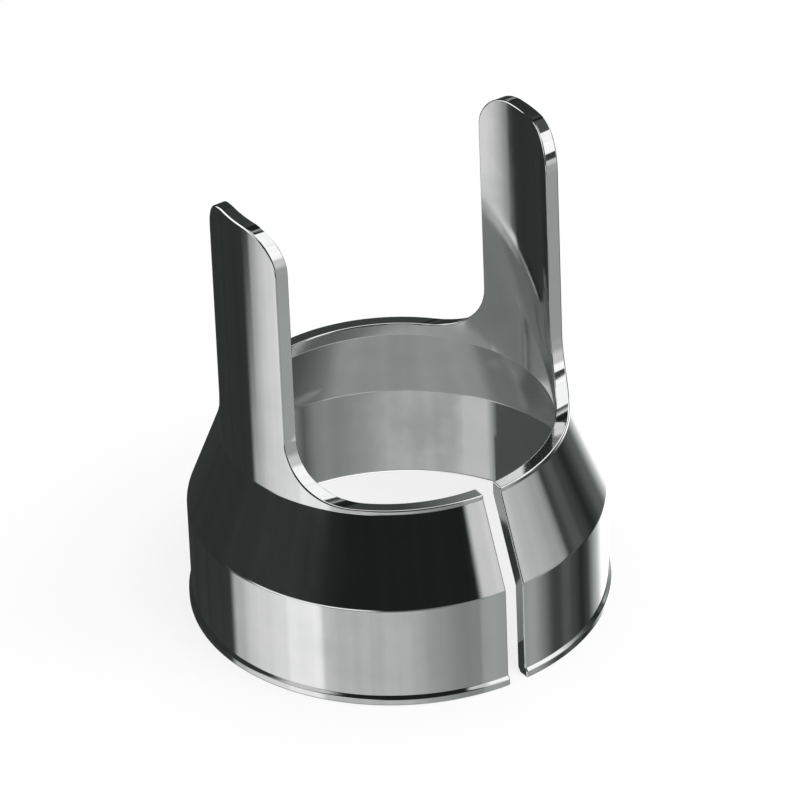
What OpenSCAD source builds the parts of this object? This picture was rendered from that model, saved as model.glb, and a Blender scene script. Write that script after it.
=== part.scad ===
// Drag shield for a hand plasma cutting torch.
// One piece, turned from tube: a springy split ring that slips over the torch's
// cup, and two legs that ride on the sheet and hold the nozzle at its height.
// Z runs up from the foot of the ring to the tips of the legs, the legs stand on X,
// and the slit is on the side of -Y.

/* [Skirt] */
// Outside diameter of the skirt that grips the cup
skirt_od = 30; // [27:0.5:36]
// Height of the straight skirt, from the foot to the cone, outside
skirt_h = 8; // [5:0.5:14]
// Thickness of the tube wall in the skirt, the neck and the legs
wall = 1; // [0.8:0.1:1.6]
// How far the lip at the foot stands proud of the skirt
lip_proud = 0.2; // [0.1:0.05:0.5]
// Height of the lip, up to the start of its slope
lip_h = 0.55; // [0.4:0.05:1.5]
// Lead-in chamfer inside the foot
lead_in = 0.3; // [0.1:0.05:0.5]

/* [Cone and neck] */
// Outside diameter of the neck and of the two legs
neck_od = 25; // [21:0.5:26]
// Height of the cone between skirt and neck, outside
cone_h = 6.4; // [4:0.2:10]
// How much lower the cone lies inside than outside
cone_drop = 0.65; // [0.2:0.05:1]
// Height of the straight neck left above the cone, outside
neck_h = 0.35; // [0.2:0.05:3]

/* [Legs] */
// Length of the legs above the ring
leg_len = 20.85; // [14:0.05:30]
// Width of a leg between its two milled sides
leg_w = 8.5; // [7:0.5:12]
// Radius of the two corners at the tip of a leg
tip_corner_r = 3; // [1:0.1:3.4]
// Radius that the mill leaves where a leg grows out of the ring
root_fillet_r = 4.2; // [2:0.1:5]

/* [Slit] */
// Width of the slit that lets the ring spring
slit_w = 1.4; // [0.6:0.1:3]

/* [Edges] */
// Chamfer on the turned edges
edge_break = 0.12; // [0.05:0.01:0.2]

/* [Hidden] */
$fn = 180;

skirt_r = skirt_od / 2;
bore_r = skirt_r - wall;
lip_r = skirt_r + lip_proud;
neck_r = neck_od / 2;
neck_bore_r = neck_r - wall;

cone_top = skirt_h + cone_h;
ring_h = cone_top + neck_h;
total_h = ring_h + leg_len;

// How far a cutting shape runs past the faces that it cuts
overrun = 1;

// Half section of the ring: lip, skirt, cone and neck, from the foot upwards
module ring_section() {
    polygon([
        [bore_r + lead_in, 0],
        [lip_r - edge_break, 0],
        [lip_r, edge_break],
        [lip_r, lip_h],
        [skirt_r, lip_h + lip_proud],
        [skirt_r, skirt_h],
        [neck_r, cone_top],
        [neck_r, ring_h - edge_break],
        [neck_r - edge_break, ring_h],
        [neck_bore_r + edge_break, ring_h],
        [neck_bore_r, ring_h - edge_break],
        [neck_bore_r, cone_top - cone_drop],
        [bore_r, skirt_h - cone_drop],
        [bore_r, lead_in]
    ]);
}

// Half section of the neck tube that the legs are left from
module leg_section() {
    polygon([
        [neck_bore_r, cone_top],
        [neck_r, cone_top],
        [neck_r, total_h - edge_break],
        [neck_r - edge_break, total_h],
        [neck_bore_r + edge_break, total_h],
        [neck_bore_r, total_h - edge_break]
    ]);
}

// Sharp corner that a round corner of radius r takes away, with its point at the origin
module corner_waste(r) {
    difference() {
        translate([-r, -r]) square(r + overrun);
        translate([-r, -r]) circle(r);
    }
}

// Side view of a leg: two straight sides, round corners at the tip, fillets at the root
module leg_outline() {
    difference() {
        union() {
            translate([-leg_w / 2, cone_top]) square([leg_w, total_h + overrun - cone_top]);
            translate([-leg_w / 2 - root_fillet_r, cone_top])
                square([leg_w + 2 * root_fillet_r, neck_h + root_fillet_r]);
        }
        for (other_side = [0, 1]) mirror([other_side, 0]) {
            translate([leg_w / 2 + root_fillet_r, ring_h + root_fillet_r])
                circle(root_fillet_r);
            translate([leg_w / 2, total_h]) corner_waste(tip_corner_r);
        }
    }
}

// The two opposite legs, as a mill passing straight across the tube leaves them
module legs() {
    intersection() {
        rotate_extrude() leg_section();
        rotate([90, 0, 90])
            linear_extrude(neck_od + 2 * overrun, center = true) leg_outline();
    }
}

// Saw cut through one side of the ring, over its whole height
module slit() {
    translate([-slit_w / 2, -lip_r - overrun, -overrun])
        cube([slit_w, lip_r + overrun, ring_h + 2 * overrun]);
}

module drag_shield() {
    color("silver")
        difference() {
            union() {
                rotate_extrude() ring_section();
                legs();
            }
            slit();
        }
}

drag_shield();
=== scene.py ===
import math

import bpy
import numpy as np
from mathutils import Matrix


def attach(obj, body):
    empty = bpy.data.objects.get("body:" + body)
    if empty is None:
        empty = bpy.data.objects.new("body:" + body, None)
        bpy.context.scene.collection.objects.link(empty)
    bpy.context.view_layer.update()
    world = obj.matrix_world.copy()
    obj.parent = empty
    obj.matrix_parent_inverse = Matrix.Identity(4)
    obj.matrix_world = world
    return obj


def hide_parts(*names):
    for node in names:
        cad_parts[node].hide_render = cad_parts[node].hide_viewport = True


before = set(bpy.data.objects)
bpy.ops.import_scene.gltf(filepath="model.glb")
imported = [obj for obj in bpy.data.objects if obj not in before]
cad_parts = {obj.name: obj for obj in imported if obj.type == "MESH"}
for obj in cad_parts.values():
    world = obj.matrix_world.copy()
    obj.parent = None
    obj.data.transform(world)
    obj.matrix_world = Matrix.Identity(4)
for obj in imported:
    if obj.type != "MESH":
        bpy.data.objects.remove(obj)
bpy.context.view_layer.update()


# The drag shield
# One piece of steel tube: a slit spring ring, with a lip at its foot, a skirt, a cone and a short neck,
# and two long legs left standing from the neck. It is turned, milled straight across, polished until
# every arris is softly round, and then plated with bright nickel and chrome.

# Sizes in millimetres
WALL = 1.0
LIP_RADIUS, LIP_HEIGHT = 15.2, 0.55
SKIRT_RADIUS, SKIRT_HEIGHT = 15.0, 8.0
NECK_RADIUS, CONE_TOP = 12.5, 14.4
CONE_DROP = 0.65
LEAD_IN = 0.3
RING_HEIGHT, FULL_HEIGHT = 14.75, 35.6
LEG_HALF_WIDTH = 4.25
TIP_CORNER, ROOT_FILLET = 3.0, 4.2
SLIT_HALF_WIDTH = 0.7
ARRIS = 0.12

# Radii to which polishing rounds the corners of the turned walls, outside and inside, from the foot up
OUTER_ROUNDING = [0.14, 0.06, 0.6, 0.25]
INNER_ROUNDING = [0.15, 0, 0.4, 0.25]
# Height at which the bore has a row, so that its rows are about level with those of the outer wall
BORE_ROW = 0.8

# Numbers of cells along the lines and the arcs of the turned walls: in all as many outside as inside,
# because the rows of the two walls meet in pairs at the slit
OUTER_CELLS = [2, 1, 6, 4, 1], [4, 4, 8, 4]
INNER_CELLS = [2, 5, 6, 4, 1], [4, 0, 8, 4]
# Numbers of cells along a leg's outline, along the ring from the slit to a leg, and over an arris
FILLET_CELLS, SIDE_CELLS, CORNER_CELLS, TIP_CELLS = 24, 8, 20, 4
RING_CELLS, ARRIS_CELLS = 80, 5

MM = 0.001


def unit(vectors):
    """Each vector divided by its own length."""
    return vectors / np.linalg.norm(vectors, axis=-1, keepdims=True)


def turned_rows(corners, radii, line_cells, arc_cells):
    """Radius, height and direction of a lathe section at each of its rows, from the foot up. The section
    is straight between its corners, and at each corner an arc touches both lines: it starts the arc's
    radius times the tangent of half the turn before the corner."""
    corners = np.array(corners)
    way = unit(np.diff(corners, axis=0))
    before, after = way[:-1], way[1:]
    turn = np.arctan2(before[:, 0] * after[:, 1] - before[:, 1] * after[:, 0], (before * after).sum(1))
    setback = np.concatenate([[0], np.array(radii) * np.tan(np.abs(turn) / 2), [0]])
    places, ways = [], []
    for i, cells in enumerate(line_cells):
        start = corners[i] + way[i] * setback[i]
        end = corners[i + 1] - way[i] * setback[i + 1]
        share = np.linspace(0, 1, cells + 1)[0 if i == 0 or arc_cells[i - 1] else 1:, None]
        places.append(start + (end - start) * share)
        ways.append(way[i] + 0 * share)
        if i < len(radii) and arc_cells[i]:
            angle = np.abs(turn[i]) * np.linspace(0, 1, arc_cells[i] + 1)[1:-1, None]
            inward = np.array([-way[i, 1], way[i, 0]]) * np.sign(turn[i])
            places.append(end + radii[i] * (inward * (1 - np.cos(angle)) + way[i] * np.sin(angle)))
            ways.append(way[i] * np.cos(angle) + inward * np.sin(angle))
    radius, height = np.concatenate(places).T
    return radius, height, np.concatenate(ways)


def turned(radius, angle, height):
    """Points of a turned surface: radius times the sine and minus the cosine of the angle, and the height.
    The angle starts at the slit, on -Y, and grows towards +X."""
    return np.stack(np.broadcast_arrays(radius * np.sin(angle), -radius * np.cos(angle), height), -1)


def on_leg(radius, side, height):
    """Points of a leg's round wall, at a distance to the side of its middle plane: the X is the root of
    the radius squared less that distance squared."""
    return np.stack(np.broadcast_arrays(np.sqrt(radius ** 2 - side ** 2), side, height), -1)


def leg_outline():
    """Side view of a leg as distances to the side and heights, with directions: up the root fillet, the
    straight side, the quarter circle of the tip's corner, and across the tip to the middle. It also gives
    the number of points on the fillet and on the straight side."""
    f = np.linspace(0, np.pi / 2, FILLET_CELLS + 1)
    fillet = np.stack([-LEG_HALF_WIDTH - ROOT_FILLET * (1 - np.sin(f)),
                       RING_HEIGHT + ROOT_FILLET * (1 - np.cos(f))], 1)
    up = np.linspace(RING_HEIGHT + ROOT_FILLET, FULL_HEIGHT - TIP_CORNER, SIDE_CELLS + 1)[1:]
    side = np.stack([0 * up - LEG_HALF_WIDTH, up], 1)
    g = np.linspace(0, np.pi / 2, CORNER_CELLS + 1)[1:]
    corner = np.stack([TIP_CORNER * (1 - np.cos(g)) - LEG_HALF_WIDTH,
                       FULL_HEIGHT - TIP_CORNER * (1 - np.sin(g))], 1)
    over = np.linspace(TIP_CORNER - LEG_HALF_WIDTH, 0, TIP_CELLS + 1)[1:]
    tip = np.stack([over, 0 * over + FULL_HEIGHT], 1)
    ways = [np.stack([np.cos(f), np.sin(f)], 1), side * 0 + [0, 1],
            np.stack([np.sin(g), np.cos(g)], 1), tip * 0 + [1, 0]]
    return np.concatenate([fillet, side, corner, tip]), np.concatenate(ways), len(fillet), len(side)


def inset(corner, direction, normal, facing):
    """Points in the wall, one arris width from the edge: the edge moved across its direction and along
    the wall, by the cross product of direction and wall normal."""
    return corner + ARRIS * facing * np.cross(direction, normal)


def wall_half(facing):
    """The +X half of a wall of the tube, the outer one with facing 1 or the inner one with facing -1.
    Its patches are grids of points and normals: the turned ring, and three bands of the leg. Its edge is
    one chain of corners, directions, wall normals and inset points, from the foot up the slit, along the
    ring's top, round the leg, and on to the back."""
    slope = ARRIS / math.sqrt(2)
    if facing > 0:
        foot, neck = LIP_RADIUS, NECK_RADIUS
        corners = [(foot, ARRIS), (foot, LIP_HEIGHT), (SKIRT_RADIUS, LIP_HEIGHT + foot - SKIRT_RADIUS),
                   (SKIRT_RADIUS, SKIRT_HEIGHT), (neck, CONE_TOP), (neck, RING_HEIGHT - ARRIS)]
        r, z, way = turned_rows(corners, OUTER_ROUNDING, *OUTER_CELLS)
    else:
        bore, neck = SKIRT_RADIUS - WALL, NECK_RADIUS - WALL
        foot = bore + LEAD_IN
        corners = [(foot - slope, slope), (bore, LEAD_IN), (bore, BORE_ROW),
                   (bore, SKIRT_HEIGHT - CONE_DROP), (neck, CONE_TOP - CONE_DROP),
                   (neck, RING_HEIGHT - ARRIS)]
        r, z, way = turned_rows(corners, INNER_ROUNDING, *INNER_CELLS)
    out, rise = facing * way[:, 1], -facing * way[:, 0]

    # the slit's edge, up through all the rows
    y = -np.sqrt(r ** 2 - SLIT_HALF_WIDTH ** 2)
    corner = np.stack([0 * y + SLIT_HALF_WIDTH, y, z], 1)
    direction = unit(np.stack([0 * y, r * way[:, 0] / y, way[:, 1]], 1))
    normal = np.stack([out * corner[:, 0] / r, out * y / r, rise], 1)
    held = inset(corner, direction, normal, facing)
    slit_angle = np.arctan2(held[:, 0], -held[:, 1])
    slit = np.stack([corner, direction, normal, turned(r, slit_angle, z)])

    # the leg's edge: one side and half the tip, and then the same mirrored, in reverse
    outline, heading, n_fillet, n_side = leg_outline()
    corner = on_leg(neck, outline[:, 0], outline[:, 1])
    direction = unit(np.column_stack([-outline[:, 0] / corner[:, 0] * heading[:, 0], heading]))
    normal = facing * corner * [1, 1, 0] / neck
    held = inset(corner, direction, normal, facing)
    leg = np.stack([corner, direction, normal, on_leg(neck, held[:, 1], held[:, 2])])
    back = leg[:, -2::-1] * [1, -1, 1]
    back[1] *= -1
    leg = np.concatenate([leg, back], 1)

    # the ring, on columns that run from the slit to the leg, under the leg, and on to the back
    half = len(outline)
    columns = np.r_[0:n_fillet, n_fillet + n_side:half]
    columns = np.r_[columns, 2 * half - 2 - columns[-2::-1]]
    side, tops = leg[3, columns, 1], leg[3, columns, 2]
    leg_angle = np.pi / 2 + np.arcsin(side / neck)
    share = np.linspace(0, 1, RING_CELLS + 1)
    front = slit_angle[:, None] + (leg_angle[0] - slit_angle[:, None]) * share
    rear = leg_angle[-1] + (np.pi - leg_angle[-1]) * share[1:]
    angle = np.concatenate([front, np.tile(np.r_[leg_angle[1:], rear], (len(r), 1))], 1)
    ring = turned(r[:, None], angle, z[:, None])
    ring_normal = turned(out[:, None], angle, rise[:, None])

    # the leg's wall, in bands of upright columns: the root, the straight part and the tip
    shoulder = n_fillet - 1
    middle = slice(shoulder, len(columns) - shoulder)
    low, high = RING_HEIGHT + ROOT_FILLET, FULL_HEIGHT - TIP_CORNER
    root_tops, tip_tops = tops.copy(), tops[middle].copy()
    root_tops[middle] = low
    tip_tops[[0, -1]] = high
    bands = [on_leg(neck, side, np.stack([0 * tops + z[-1], root_tops])),
             on_leg(neck, side[middle], np.linspace(low, high, SIDE_CELLS + 1)[:, None]),
             on_leg(neck, side[middle], np.stack([0 * tip_tops + high, tip_tops]))]
    patches = [(ring, ring_normal)] + [(band, facing * band * [1, 1, 0] / neck) for band in bands]

    # the level edges: the ring's top before and behind the leg, and its foot
    def level_edge(radius, height, row, along, sense):
        a = angle[row, along]
        direction = sense * np.stack([np.cos(a), np.sin(a), 0 * a], 1)
        return np.stack([turned(radius, a, height), direction, ring_normal[row, along], ring[row, along]])

    top_front = level_edge(neck, RING_HEIGHT, -1, slice(0, len(share) - 1), 1)
    top_back = level_edge(neck, RING_HEIGHT, -1, slice(len(share) + len(columns) - 1, None), 1)
    base = level_edge(foot, 0, 0, slice(None, None, -1), -1)

    # the slit's two corners: quarter circles in the wall, from one stretch's inset way to the next one's
    def round_corner(start, end):
        f = np.linspace(0, np.pi / 2, ARRIS_CELLS + 1)[1:-1, None]
        hub = start[3, -1] + 0 * f
        a, b = unit(start[0, -1] - start[3, -1]), unit(end[0, 0] - end[3, 0])
        corner = hub + ARRIS * (a * np.cos(f) + b * np.sin(f))
        return np.stack([corner, b * np.cos(f) - a * np.sin(f), start[2, -1] + 0 * hub, hub])

    edge = [base, round_corner(base, slit), slit, round_corner(slit, top_front), top_front, leg, top_back]
    return patches, np.concatenate(edge, 1)


def edge_band(outer, inner):
    """Points and normals of the cut face between the two walls' edges. At each wall the normal swings
    from the wall's to the cut face's, as the great circle between them, and the points lie on an arc that
    leaves the wall at the inset point. Its radius is the arris over the tangent of half that swing."""
    across = inner[0] - outer[0]
    arcs = []
    for corner, direction, normal, held in (outer, inner):
        cut = unit(np.cross(direction, across))
        swing = np.arccos((normal * cut).sum(1))[:, None]
        f = np.linspace(0, 1, ARRIS_CELLS + 1)[:, None, None]
        n = (np.sin((1 - f) * swing) * normal + np.sin(f * swing) * cut) / np.sin(swing)
        arcs.append((held + ARRIS / np.tan(swing / 2) * (n - normal), n))
    (a, a_normal), (b, b_normal) = arcs
    points = np.concatenate([a, (a[-1:] + b[-1:]) / 2, b[::-1]])
    normals = np.concatenate([a_normal, unit(a_normal[-1:] + b_normal[-1:]), b_normal[::-1]])
    return points, normals


def grid_faces(rows, columns, first, turned_round):
    """The four-sided faces of a grid of points whose first point has this number: each point, the next in
    its row, and the two above them."""
    corner = first + np.arange(rows - 1)[:, None] * columns + np.arange(columns - 1)
    faces = np.stack([corner, corner + 1, corner + columns + 1, corner + columns], -1).reshape(-1, 4)
    return faces[:, ::-1] if turned_round else faces


def shield_surface():
    """The whole skin: the outer wall, the inner wall and the band along their edge, and all three mirrored
    in X. Points that fall together become one, whose normal is the mean, and a four-sided face that loses
    a corner by that becomes a triangle. Each face has the number of its finish."""
    outside, outer_edge = wall_half(1)
    inside, inner_edge = wall_half(-1)
    half = [(p, n, 0, False) for p, n in outside] + [(p, n, 1, True) for p, n in inside]
    half.append((*edge_band(outer_edge, inner_edge), 2, False))
    mirror = [-1, 1, 1]
    whole = half + [(p * mirror, n * mirror, number, not turned_round)
                    for p, n, number, turned_round in half]
    points = np.concatenate([p.reshape(-1, 3) for p, *_ in whole])
    normals = np.concatenate([n.reshape(-1, 3) for _, n, *_ in whole])
    first = np.cumsum([0] + [p.shape[0] * p.shape[1] for p, *_ in whole])
    faces = [grid_faces(*p.shape[:2], start, turned_round)
             for (p, _, _, turned_round), start in zip(whole, first)]
    finish = np.repeat([piece[2] for piece in whole], [len(f) for f in faces])
    faces = np.concatenate(faces)
    _, kept, same = np.unique(np.round(points, 6) + 0.0, axis=0, return_index=True, return_inverse=True)
    same = same.reshape(-1)
    mean = np.zeros((len(kept), 3))
    np.add.at(mean, same, normals)
    faces = same[faces]
    distinct = faces != np.roll(faces, -1, 1)
    whole_face = distinct.all(1)
    parts, finishes = [faces[whole_face]], [finish[whole_face]]
    for k in range(4):
        lost = ~distinct[:, k] & (distinct.sum(1) == 3)
        parts.append(np.delete(faces[lost], k, 1))
        finishes.append(finish[lost])
    polygons = [corners for part in parts for corners in part.tolist()]
    return points[kept], unit(mean), polygons, np.concatenate(finishes)


def linear(hex_colour):
    """The linear colour of an sRGB hex value: the 2.4 power of its shares, straight near black."""
    share = [int(hex_colour[i:i + 2], 16) / 255 for i in (1, 3, 5)]
    return [s / 12.92 if s <= 0.04045 else ((s + 0.055) / 1.055) ** 2.4 for s in share] + [1.0]


def add(tree, kind, sockets=(), **settings):
    """A new node of this kind with its settings. Each of its sockets gets a number or another's output."""
    node = tree.nodes.new(kind)
    for name, value in settings.items():
        setattr(node, name, value)
    for name, value in dict(sockets).items():
        if isinstance(value, bpy.types.NodeSocket):
            tree.links.new(value, node.inputs[name])
        else:
            node.inputs[name].default_value = value
    return node


def chrome(name, colour, hazy_colour, roughness, haze, grain, marks, mark_depth, wave_depth):
    """Bright nickel and chrome on polished steel. The eye sees a near mirror with faint haze in patches,
    where the colour is duller too. The tool marks and the polishing lines lie round the axis, and spread
    what they reflect up and down: grain says how much more than round about. The marks are given as
    their number in a millimetre along X, Y and Z, and are drawn a few times as coarse as they are, so
    that they show. Slow waves of hand polishing bend the reflected lines. The patches of haze are about
    3 mm across and the waves about 5 mm."""
    material = bpy.data.materials.new(name)
    material.use_nodes = True
    tree = material.node_tree
    tree.nodes.clear()
    place = add(tree, "ShaderNodeTexCoord").outputs["Object"]
    in_mm = add(tree, "ShaderNodeMapping", {"Vector": place, "Scale": (1 / MM,) * 3}).outputs["Vector"]

    patches = add(tree, "ShaderNodeTexNoise", {"Vector": in_mm, "Scale": 0.35,
                                               "Detail": 3.0}).outputs["Fac"]
    dull = add(tree, "ShaderNodeMapRange", {"Value": patches, "From Min": 0.35,
                                            "From Max": 0.7}).outputs["Result"]
    gloss = add(tree, "ShaderNodeMapRange", {"Value": dull, "To Min": roughness,
                                             "To Max": roughness + haze}).outputs["Result"]
    tone = add(tree, "ShaderNodeMix", {"Factor": dull, 6: linear(colour), 7: linear(hazy_colour)},
               data_type="RGBA").outputs[2]

    stretched = add(tree, "ShaderNodeMapping", {"Vector": in_mm, "Scale": marks}).outputs["Vector"]
    lines = add(tree, "ShaderNodeTexNoise", {"Vector": stretched, "Scale": 1.0,
                                             "Detail": 2.0}).outputs["Fac"]
    waves = add(tree, "ShaderNodeTexNoise", {"Vector": in_mm, "Scale": 0.22, "Detail": 1.0}).outputs["Fac"]
    bent = add(tree, "ShaderNodeBump", {"Height": waves, "Strength": 1.0,
                                        "Distance": wave_depth}).outputs["Normal"]
    marked = add(tree, "ShaderNodeBump", {"Height": lines, "Normal": bent, "Strength": 1.0,
                                          "Distance": mark_depth}).outputs["Normal"]
    around = add(tree, "ShaderNodeVectorMath", {0: (0, 0, 1), 1: place},
                 operation="CROSS_PRODUCT").outputs[0]
    around = add(tree, "ShaderNodeVectorMath", {0: around}, operation="NORMALIZE").outputs[0]
    metal = add(tree, "ShaderNodeBsdfPrincipled", {"Base Color": tone, "Metallic": 1.0, "Roughness": gloss,
                                                   "Anisotropic": grain, "Anisotropic Rotation": 0.25,
                                                   "Normal": marked, "Tangent": around})
    add(tree, "ShaderNodeOutputMaterial", {"Surface": metal.outputs["BSDF"]})
    return material


points, normals, polygons, finish = shield_surface()
mesh = bpy.data.meshes.new("drag_shield_plated")
mesh.from_pydata(points * MM, [], polygons)
mesh.polygons.foreach_set("material_index", finish.astype(np.int32))
mesh.polygons.foreach_set("use_smooth", np.ones(len(polygons), bool))
mesh.update()
mesh.normals_split_custom_set_from_vertices(normals)
mesh.materials.append(chrome("bright_chrome_turned_and_polished", "#d4d4d4", "#cfd0d0", 0.05, 0.04, 0.6,
                             (0.05, 0.05, 5.0), 1.5e-7, 2.0e-6))
mesh.materials.append(chrome("bright_chrome_in_the_bore", "#d3d3d3", "#cccdcd", 0.08, 0.05, 0.6,
                             (0.05, 0.05, 4.0), 3.0e-7, 2.5e-6))
mesh.materials.append(chrome("bright_chrome_on_milled_edges", "#d4d4d4", "#cfd0d0", 0.06, 0.04, 0.0,
                             (4.0, 0.3, 0.3), 1.5e-7, 1.5e-6))
shield = bpy.data.objects.new("drag_shield_plated", mesh)
bpy.context.scene.collection.objects.link(shield)
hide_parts("drag_shield")
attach(shield, "root")


# The table top
# White matt card, on which the shield stands. To the camera it is as white as the backdrop, except for
# the soft shadow round the shield's foot.

TABLE_HALF_SIZE = 4
# How much of what the camera sees of the table top is even white
EVEN_WHITE = 0.8


def matt_white_card():
    """Matt white card: most of what the camera sees of it is even white, and the rest is the light that
    falls on it, which is less in the shadow."""
    material = bpy.data.materials.new("matt_white_card")
    material.use_nodes = True
    tree = material.node_tree
    tree.nodes.clear()
    seen = add(tree, "ShaderNodeLightPath").outputs["Is Camera Ray"]
    lit = add(tree, "ShaderNodeBsdfDiffuse", {"Color": linear("#fbfbfb")})
    even = add(tree, "ShaderNodeEmission", {"Color": linear("#ffffff"), "Strength": seen})
    share = add(tree, "ShaderNodeMath", {0: seen, 1: EVEN_WHITE}, operation="MULTIPLY").outputs[0]
    both = add(tree, "ShaderNodeMixShader", {"Fac": share, 1: lit.outputs[0], 2: even.outputs[0]})
    add(tree, "ShaderNodeOutputMaterial", {"Surface": both.outputs[0]})
    return material


top = bpy.data.meshes.new("table_top")
top_corners = TABLE_HALF_SIZE * np.array([(-1, -1, 0), (1, -1, 0), (1, 1, 0), (-1, 1, 0)])
top.from_pydata(top_corners, [], [(0, 1, 2, 3)])
top.materials.append(matt_white_card())
table = bpy.data.objects.new("table_top", top)
bpy.context.scene.collection.objects.link(table)
table.visible_glossy = False


# The studio
# White paper and soft boxes round the table, and black cards between them, because polished chrome
# shows nothing but what stands round it. Reflections see these cards and not the white backdrop.
# Everything else in the picture is lit by even white light.

CAMERA_AZIMUTH, CAMERA_ELEVATION, CAMERA_ROLL = -32.19, 33.49, -2.34

# Each card: its brightness, where it starts and ends round the table, in degrees counter-clockwise from
# the camera, how softly, where it starts and ends in height, in degrees, and how softly. A later card
# stands in front of the ones before it. Most of the numbers were worked out by a program that fitted
# them to the grey tones of the photograph's chrome, and some were then set one by one, so they are no
# plan of the real studio.
CARDS = {
    "wall_in_the_dark": (0.046, -120, -43, 35.8, -90, 62, 10),
    "floor_beyond": (0.16, -181, 181, 1, -99, -14.7, 6.2),
    "table": (0.68, -181, 181, 1, -99, -32, 4.2),
    "table_right_front": (0.33, 13.8, 66, 43.2, -39.4, -9, 8),
    "table_left": (1.02, -89.5, -45, 22, -44, -29.1, 6.4),
    "bright_paper_left_front": (1.18, -65.6, -44.8, 3.5, -44, -26, 6),
    "far_edge_of_the_paper": (1.2, -80, -14, 12, -24, -6, 5),
    "table_under_the_shield": (0.41, -181, 181, 1, -99, -58.5, 14),
    "shade_under_the_left": (0.33, -99, 10, 20, -55.2, -38.2, 5.8),
    "shade_under_the_left_side": (0.17, -110, -77.5, 7.8, -54.5, -40.5, 4.1),
    "shade_under_the_right": (0.17, 77.5, 150, 31.2, -99, -46, 14),
    "table_right": (0.47, 43.9, 100, 2.2, -48, -4.5, 10),
    "table_right_end": (0.08, 84.5, 133.6, 18.8, -61.1, -26.5, 12),
    "soft_box_left": (0.79, -75, -44.9, 13.8, 11.2, 68, 13.8),
    "soft_box_right_foot": (0.85, 40.6, 92.2, 4.1, -8.2, 74, 12.2),
    "soft_box_right_far_end": (0.37, 78.2, 155, 58.2, -10.3, 18, 9.9),
    "soft_box_right": (1.42, 52.5, 138, 3.4, 13, 82, 7.2),
    "paper_behind": (1.27, 146.6, 188, 21.8, -62, 21, 6),
    "paper_behind_low": (1.51, 147.6, 192, 19.8, -60, -24.6, 8),
    "black_card_right": (0.077, 94.2, 127.2, 4.2, -54, 29.5, 13.8),
    "black_card_right_end": (0.029, 115, 122.9, 10.2, -55, 23, 12),
    "gap_in_black_card": (0.12, 99.5, 107.7, 5.2, -63.5, 18, 10),
    "black_card_left": (0.042, -177.5, -105.4, 6, -52, 41, 14),
    "black_card_left_above": (0.042, -177.5, -99.6, 4, -33.2, 41, 3),
    "shade_under_the_far_left": (0.21, -147, -99, 15.8, -99, -38.9, 10.4),
    "paper_behind_right": (1.52, 123.5, 158.8, 6.5, 18, 57, 9.8),
    "black_card_behind": (0.069, 164, 202, 8, 31.6, 42, 2.2),
    "soft_box_above": (1.2, -181, 181, 1, 68, 99, 8),
}
# Brightness of the dark room where there is no card
ROOM = 0.018
# How far the brightness of the cards wavers, up and down
UNEVENNESS = 0.2
# Brightness of the light that everything but reflections gets
EVEN_LIGHT = 0.7


def greened(tree, level):
    """The colour of a card by its brightness: what is dark looks a little green and cool, as in the
    photograph, and from a brightness of 0.8 up it is neutral white."""
    share = add(tree, "ShaderNodeMapRange", {"Value": level, "From Min": 0.0,
                                             "From Max": 0.8}).outputs["Result"]
    return add(tree, "ShaderNodeMix", {"Factor": share, 6: linear("#f0fff9"), 7: linear("#ffffff")},
               data_type="RGBA").outputs[2]


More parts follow.
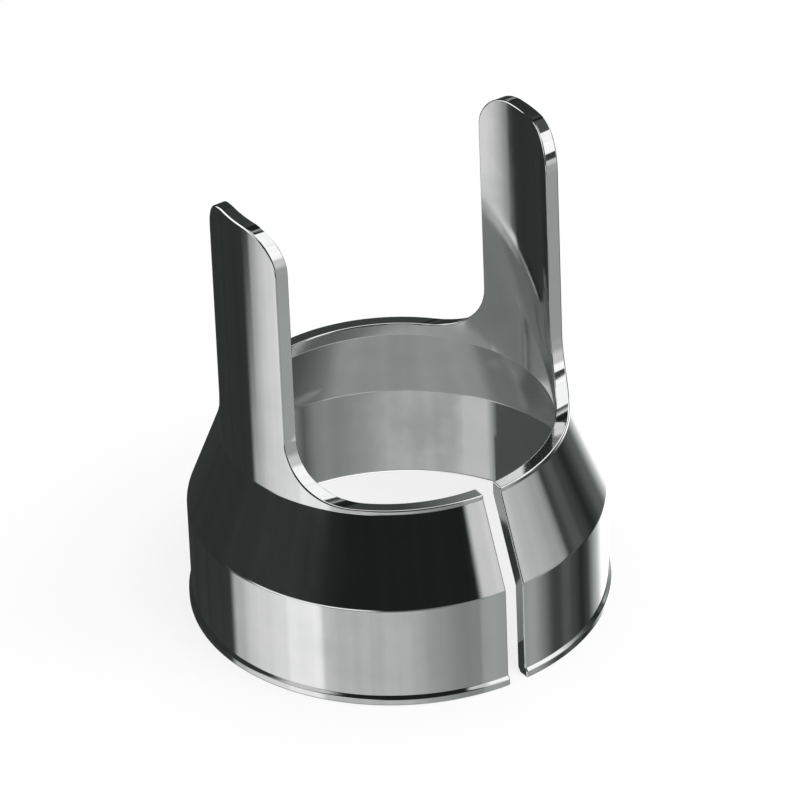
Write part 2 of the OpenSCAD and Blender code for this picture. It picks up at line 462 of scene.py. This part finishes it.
def studio_world():
    """Camera rays meet plain white, and other rays that aren't reflections meet even light. A reflection
    meets the cards: each card covers the ones before it, where the angle round the table and the height
    both lie between its ends, with a smooth step at each end. Paper and cloth are never quite even, so
    the brightness wavers a little round the table, in upright streaks."""
    world = bpy.data.worlds.new("studio")
    world.use_nodes = True
    tree = world.node_tree
    tree.nodes.clear()
    way = add(tree, "ShaderNodeTexCoord").outputs["Generated"]
    from_camera = math.radians(90 - CAMERA_AZIMUTH)
    turned_way = add(tree, "ShaderNodeVectorRotate", {"Vector": way, "Angle": from_camera},
                     rotation_type="Z_AXIS").outputs[0]
    part = add(tree, "ShaderNodeSeparateXYZ", {0: turned_way}).outputs
    around = add(tree, "ShaderNodeMath", {0: part["Y"], 1: part["X"]}, operation="ARCTAN2").outputs[0]
    height = add(tree, "ShaderNodeMath", {0: part["Z"]}, operation="ARCSINE").outputs[0]
    angles = add(tree, "ShaderNodeCombineXYZ", {"X": around, "Y": height}).outputs[0]
    angles = add(tree, "ShaderNodeVectorMath", {0: angles, "Scale": math.degrees(1)},
                 operation="SCALE").outputs[0]
    squeezed = add(tree, "ShaderNodeVectorMath", {0: turned_way, 1: (1, 1, 0.15)},
                   operation="MULTIPLY").outputs[0]
    folds = add(tree, "ShaderNodeTexNoise", {"Vector": squeezed, "Scale": 9.0,
                                             "Detail": 3.0}).outputs["Fac"]
    level = ROOM
    for name, (brightness, start, end, softness, bottom, top, height_softness) in CARDS.items():
        middle = np.array([(start + end) / 2, (bottom + top) / 2, 0])
        half = np.array([(end - start) / 2, (top - bottom) / 2, 1])
        soft = np.array([softness, height_softness, 1])
        away = add(tree, "ShaderNodeVectorMath", {0: angles, 1: middle}, operation="SUBTRACT").outputs[0]
        away = add(tree, "ShaderNodeVectorMath", {0: away, 1: (180, 180, 180), 2: (-180, -180, -180)},
                   operation="WRAP").outputs[0]
        away = add(tree, "ShaderNodeVectorMath", {0: away}, operation="ABSOLUTE").outputs[0]
        inside = add(tree, "ShaderNodeMapRange", {6: away, 7: half + soft / 2, 8: half - soft / 2,
                                                  9: (0, 0, 0), 10: (1, 1, 1)},
                     data_type="FLOAT_VECTOR", interpolation_type="SMOOTHSTEP").outputs[1]
        share = add(tree, "ShaderNodeSeparateXYZ", {0: inside}).outputs
        cover = add(tree, "ShaderNodeMath", {0: share["X"], 1: share["Y"]}, operation="MULTIPLY",
                    label=name).outputs[0]
        level = add(tree, "ShaderNodeMix", {"Factor": cover, 2: level, 3: brightness},
                    data_type="FLOAT").outputs[0]
    uneven = add(tree, "ShaderNodeMapRange", {"Value": folds, "To Min": 1 - UNEVENNESS,
                                              "To Max": 1 + UNEVENNESS}).outputs["Result"]
    level = add(tree, "ShaderNodeMath", {0: level, 1: uneven}, operation="MULTIPLY").outputs[0]
    path = add(tree, "ShaderNodeLightPath").outputs
    cards = add(tree, "ShaderNodeBackground", {"Color": greened(tree, level), "Strength": level})
    even = add(tree, "ShaderNodeBackground", {"Color": linear("#ffffff"), "Strength": EVEN_LIGHT})
    white = add(tree, "ShaderNodeBackground", {"Color": linear("#ffffff"), "Strength": 1.0})
    reflected = add(tree, "ShaderNodeMixShader", {"Fac": path["Is Glossy Ray"], 1: even.outputs[0],
                                                  2: cards.outputs[0]})
    shown = add(tree, "ShaderNodeMixShader", {"Fac": path["Is Camera Ray"], 1: reflected.outputs[0],
                                              2: white.outputs[0]})
    add(tree, "ShaderNodeOutputWorld", {"Surface": shown.outputs[0]})
    return world


scene = bpy.context.scene
scene.world = studio_world()


def small_card(name, corners, polygons, brightness):
    """A small glowing card close to the shield, which only reflections see: a studio card, or in the ring a
    patch of painted shade or painted light. Its brightness at each corner is an attribute of its mesh, and
    runs evenly from corner to corner."""
    mesh = bpy.data.meshes.new(name)
    mesh.from_pydata(np.array(corners) * MM, [], polygons)
    painted_on = mesh.attributes.new("brightness", "FLOAT", "POINT")
    painted_on.data.foreach_set("value", np.array(brightness, np.float32))
    mesh.materials.append(card_stock)
    card = bpy.data.objects.new(name, mesh)
    scene.collection.objects.link(card)
    card.visible_camera = card.visible_diffuse = card.visible_shadow = card.visible_transmission = False


def upright_card(name, places, bottom, top, brightness):
    """A card that stands upright over a line of places, from the bottom height to the top height."""
    rows = [(*place, height) for height in (bottom, top) for place in places]
    small_card(name, rows, grid_faces(2, len(places), 0, False).tolist(), [*brightness] * 2)


def curved_card(name, inner, outer, height, angles, brightness):
    """A level card between two radii: at each angle from +X it has one point on either radius."""
    angles = np.radians(angles)
    rows = [np.stack([r * np.cos(angles), r * np.sin(angles), 0 * angles + height], 1)
            for r in (inner, outer)]
    small_card(name, np.concatenate(rows), grid_faces(2, len(angles), 0, False).tolist(), [*brightness] * 2)


card_stock = bpy.data.materials.new("card_stock")
card_stock.use_nodes = True
card_tree = card_stock.node_tree
card_tree.nodes.clear()
painted = add(card_tree, "ShaderNodeAttribute", attribute_name="brightness").outputs["Fac"]
glow = add(card_tree, "ShaderNodeEmission", {"Color": greened(card_tree, painted), "Strength": painted})
add(card_tree, "ShaderNodeOutputMaterial", {"Surface": glow.outputs[0]})

# Small cards in the ring and close to the tips, in millimetres from the middle of the ring's foot. Those in
# the ring are painted shade and painted light: the bore reflects them in place of the table top inside the
# ring, with the ring's shadow and the light that falls in through its open top painted on them. They
# stand so near that what shows them depends on its place and not only on its direction.
# Two reach below the table top, which reflections don't see. Their numbers come from the same fit, and some
# were set one by one.
# Painted shade: a dark sloped card that the bore reflects in place of the table top inside the ring, deep
# in the ring's shadow.
small_card("painted_deep_shade_in_the_ring",
           [(12.45, 6.27, 0.3), (13.8, -1.5, 0.3), (8.8, -1.15, 5.3), (7.45, 6.62, 5.3)],
           [(0, 1, 2, 3)], [0.104] * 4)
# Painted shade and painted light: an upright card by the inner wall, dark at its first end and pale along
# the rest, that the bore reflects in place of the half-shaded table top inside the ring.
upright_card("painted_half_shade_in_the_ring", [(10.14, 6.3), (9.74, 6.75), (8.83, 7.67)], -1.75, 5.75,
             [0.139, 0.75, 0.731])
upright_card("shade_card_in_the_ring", [(2.92, 12.74), (2.17, 12.91), (1.37, 13.05), (0.3, 13.16)],
             -0.8, 6.7, [0.36, 0.31, 0.15, 0.378])
upright_card("black_card_by_the_tip", [(27, -42), (34, -38)], 36, 48, [0.06, 0.06])
small_card("black_card_over_the_tip", [(15, -5, 48), (25, -5, 48), (25, 6, 48), (15, 6, 48)],
           [(0, 1, 2, 3)], [0.106] * 4)
upright_card("soft_box_behind_left", [(-15.9, 31.2), (-32.9, 4.0)], 25, 58, [1.6, 1.6])
upright_card("paper_behind_the_front", [(28.1, 29.6), (21.3, 33.9)], 43, 58, [0.341, 0.048])
# Painted shade: a grey crescent, palest round its middle and darkest at its end near +X, that the bore
# reflects in place of the table top inside the ring in the ring's shadow.
curved_card("painted_shade_crescent_in_the_ring", 8.0, 12.8, 1.3,
            (125, 140, 160, 180, 200, 225, 245, 270, 300, 320, 345),
            (0.364, 0.381, 0.407, 0.425, 0.433, 0.364, 0.295, 0.217, 0.173, 0.165, 0.147))
# Painted light: a bright crescent on the table top at the foot of the inner wall. It is the light that
# falls into the ring through its open top, as the bore reflects it.
curved_card("painted_light_pool_at_the_wall", 10.5, 14.0, 0.0, (164, 180, 195, 210, 225, 240, 255), [1.8] * 7)
# Painted shade: a grey sector on the table top inside the ring, by the back of the inner wall. It is the
# shade at the wall's foot, as the bore reflects it.
curved_card("painted_shade_at_the_back_wall", 3.0, 14.0, 0.0, (85, 105, 120, 135, 150, 163), [0.394] * 6)

# A soft box above the front. Reflections don't show it: it gives the soft shadow round the foot.
soft_box = bpy.data.lights.new("soft_box", "AREA")
soft_box.shape = "DISK"
soft_box.size = 0.5
soft_box.energy = 2.4
lamp = bpy.data.objects.new("soft_box", soft_box)
scene.collection.objects.link(lamp)
lamp.visible_glossy = False
lamp.location = (0.15, -0.35, 0.6)
lamp.rotation_euler = (math.radians(30), 0, math.radians(23))


# The camera
# It looks down at the shield from the photograph's side and height, leans as it does there, and frames
# the shield alone.

# Metres from the point that the camera looks at, that point's height on the axis, and how far it then
# moves to the right and down, so that the whole shield is in the middle
DISTANCE = 0.5495
TARGET_HEIGHT, TO_THE_RIGHT, DOWN = 0.018, 0.0005, 0.0019
FOCAL_LENGTH = 350

azimuth, elevation, lean = (math.radians(a) for a in (CAMERA_AZIMUTH, CAMERA_ELEVATION, CAMERA_ROLL))
back = np.array([math.sin(azimuth) * math.cos(elevation), -math.cos(azimuth) * math.cos(elevation),
                 math.sin(elevation)])
right = np.array([math.cos(azimuth), math.sin(azimuth), 0])
up = np.cross(back, right)
lens = bpy.data.cameras.new("camera")
lens.lens = FOCAL_LENGTH
lens.clip_start, lens.clip_end = 0.05, 20
camera = bpy.data.objects.new("camera", lens)
scene.collection.objects.link(camera)
scene.camera = camera
leaning_right = right * math.cos(lean) + up * math.sin(lean)
leaning_up = up * math.cos(lean) - right * math.sin(lean)
middle = np.array([0, 0, TARGET_HEIGHT]) + TO_THE_RIGHT * right - DOWN * up
place = np.eye(4)
place[:3, :3] = np.stack([leaning_right, leaning_up, back], 1)
place[:3, 3] = middle + DISTANCE * back
camera.matrix_world = Matrix(place.tolist())

scene.view_settings.view_transform = "Standard"
